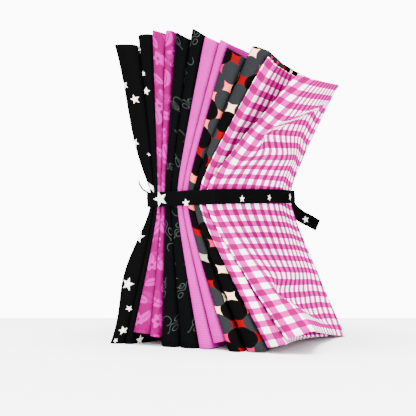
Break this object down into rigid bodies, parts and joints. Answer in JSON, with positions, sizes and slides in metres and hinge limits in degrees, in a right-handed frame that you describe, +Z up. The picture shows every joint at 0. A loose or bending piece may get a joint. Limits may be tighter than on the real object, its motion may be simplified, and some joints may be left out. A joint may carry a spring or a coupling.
{
  "type": "fat quarter bundle",
  "caption": "Folded cotton quilting cloths standing side by side on end, drawn in at the waist by a tied strip of cloth and fanned out above and below it",
  "frame": {"origin": "middle of the base, at the level the bundle stands on", "axes": "+Z up along the folds' height, +X along the stack from the starred cloth to the gingham, -Y to the side of the near folds"},
  "size_m": [0.155, 0.1486, 0.228],
  "materials": {
    "starred": "matte plain-weave cotton, black with cream stars",
    "floral": "matte plain-weave cotton, tonal magenta leaves and flowers",
    "sprigged": "matte plain-weave cotton, black with thin grey-green sprigs",
    "ribbed": "matte yarn-dyed cotton, light pink with fine cross ribs",
    "dotted": "matte plain-weave cotton, packed dark dots on reds and corals",
    "gingham": "matte plain-weave cotton, magenta and white checks",
    "tie": "matte plain-weave cotton strip, black with cream stars"
  },
  "bodies": {
    "root": {"starred": "starred", "floral": "floral", "sprigged": "sprigged", "ribbed": "ribbed", "dotted": "dotted", "gingham": "gingham", "tie": "tie"}
  },
  "joints": []
}
